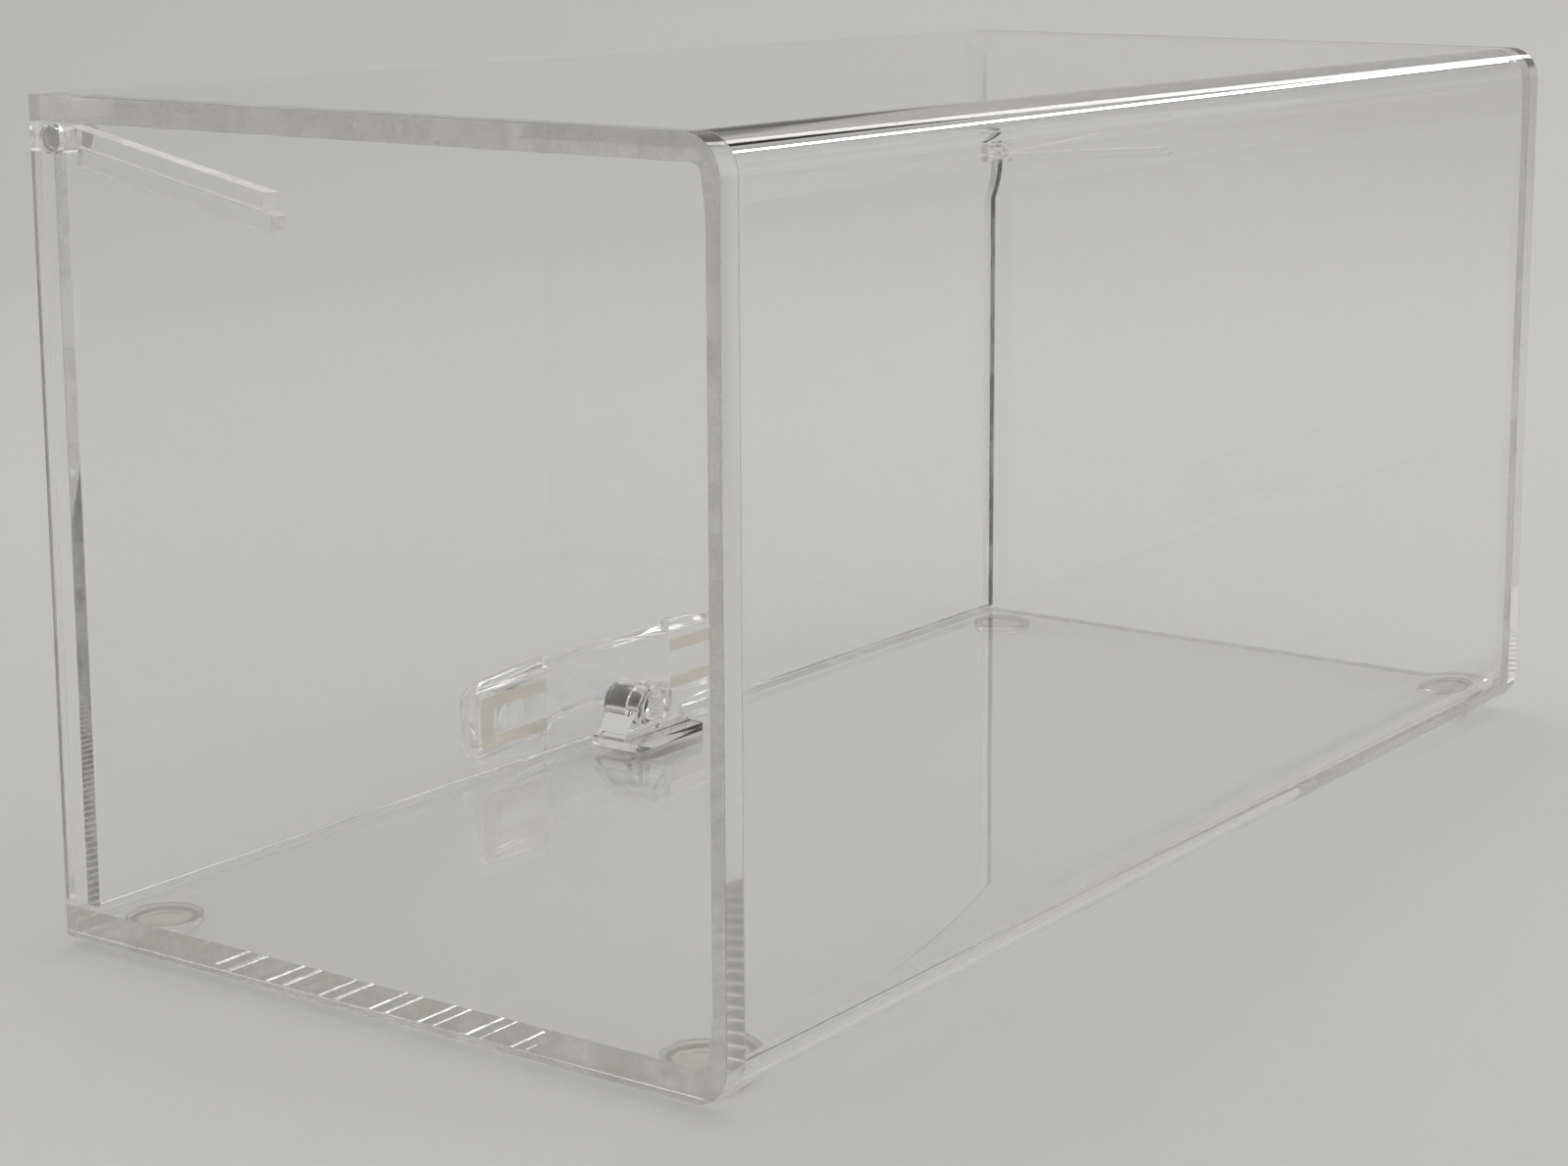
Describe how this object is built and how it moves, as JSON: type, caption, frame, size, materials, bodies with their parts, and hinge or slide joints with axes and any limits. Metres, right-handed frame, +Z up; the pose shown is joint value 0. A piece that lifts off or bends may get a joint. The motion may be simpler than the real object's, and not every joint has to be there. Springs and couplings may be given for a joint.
{
  "type": "shoe box",
  "caption": "Clear acrylic drop-front shoe box: a bent sheet wrap with glued end panels, a top-hinged door on two pivot pins, a bow handle, a magnetic catch and four clear feet.",
  "frame": {"origin": "centre of the bottom of the bounding box, on the surface the feet stand on", "axes": "+X along the length to the right as seen from the front, +Y from the door to the back wall, +Z up"},
  "size_m": [0.305, 0.1596, 0.154],
  "materials": {
    "clear_acrylic": "polished",
    "clear_bumper": "satin",
    "adhesive_tape": "matte",
    "nickel": "polished",
    "zinc_steel": "satin"
  },
  "bodies": {
    "case": {"wrap_shell": "clear_acrylic", "catch_bracket": "clear_acrylic", "catch_magnet": "nickel", "catch_tape": "adhesive_tape", "right_end_panel": "clear_acrylic", "right_upper_rail": "clear_acrylic", "right_lower_rail": "clear_acrylic", "left_end_panel": "clear_acrylic", "left_upper_rail": "clear_acrylic", "left_lower_rail": "clear_acrylic", "front_right_foot": "clear_bumper", "front_left_foot": "clear_bumper", "back_right_foot": "clear_bumper", "back_left_foot": "clear_bumper"},
    "door": {"door_panel": "clear_acrylic", "door_handle": "clear_acrylic", "strike_disc": "zinc_steel", "right_pivot_pin": "clear_acrylic", "right_handle_tape": "adhesive_tape", "left_pivot_pin": "clear_acrylic", "left_handle_tape": "adhesive_tape"}
  },
  "joints": [
    {"name": "door_hinge", "type": "hinge", "parent": "case", "child": "door", "pos_m": [0, -0.0662, 0.1463], "axis": [-1, 0, 0], "range_deg": [0, 105]}
  ]
}
